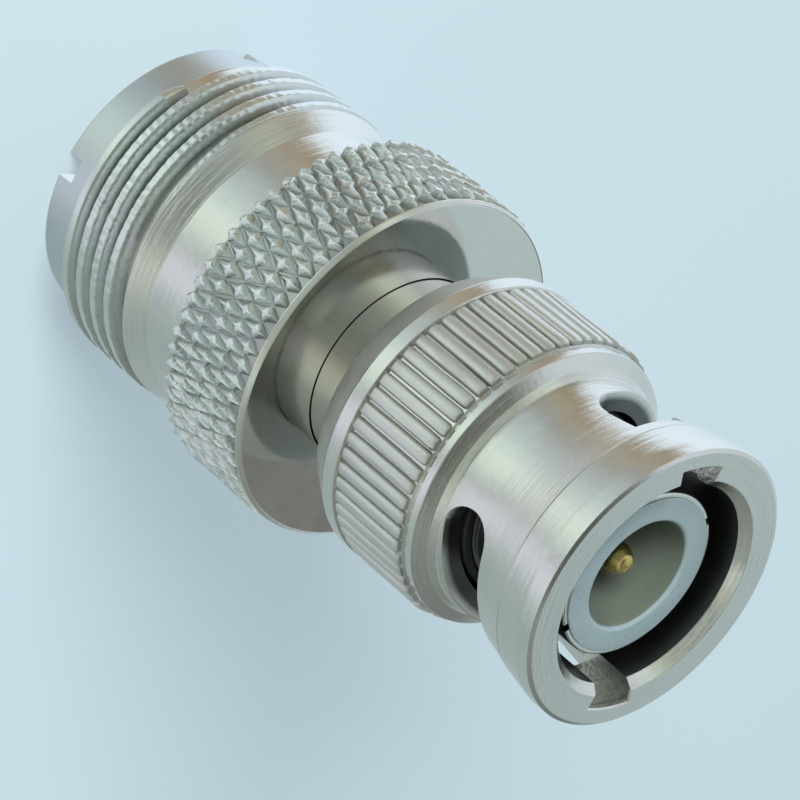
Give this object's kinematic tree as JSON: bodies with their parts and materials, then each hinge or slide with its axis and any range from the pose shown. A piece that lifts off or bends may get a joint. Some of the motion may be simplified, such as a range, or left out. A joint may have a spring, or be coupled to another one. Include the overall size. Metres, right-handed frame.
{
  "type": "uhf to bnc adapter",
  "caption": "Coaxial adapter joining a threaded UHF plug to a BNC jack: knurled collar, plain neck and a spring-loaded turning nut with bayonet slots.",
  "frame": {"origin": "centre of the notched rim's face at the threaded end, on which the part stands", "axes": "+Z runs along the common axis from the threaded end to the bayonet end; +X and +Y lie across it, with the first bayonet entry 31.5 degrees from +X towards +Y"},
  "size_m": [0.0174, 0.0174, 0.0344],
  "materials": {
    "nickel_shell": "bright nickel plate on turned brass",
    "nickel_body": "bright nickel plate on turned brass",
    "nickel_nut": "bright nickel plate on turned brass",
    "gold_contact": "thin gold plate",
    "insulator": "smooth, slightly translucent white",
    "spring_steel": "plain rolled spring strip",
    "rubber": "smooth black moulding"
  },
  "bodies": {
    "adapter": {"uhf_shell": "nickel_shell", "uhf_insulator": "insulator", "uhf_socket": "gold_contact", "bnc_body": "nickel_body", "bnc_insulator": "insulator", "bnc_pin": "gold_contact", "wave_washer_rear": "spring_steel", "wave_washer_front": "spring_steel", "retaining_ring": "spring_steel", "gasket": "rubber"},
    "washer": {"thrust_washer": "spring_steel"},
    "nut": {"coupling_nut": "nickel_nut"}
  },
  "joints": [
    {"name": "nut_pull", "type": "slide", "parent": "adapter", "child": "washer", "axis": [0, 0, 1], "range_m": [0, 0.0006], "stiffness_N_per_m": 5000, "springref_m": -0.0002, "deforming": ["wave_washer_rear", "wave_washer_front"]},
    {"name": "nut_turn", "type": "hinge", "parent": "washer", "child": "nut", "pos_m": [0, 0, 0.0269], "axis": [0, 0, 1], "continuous": true}
  ]
}
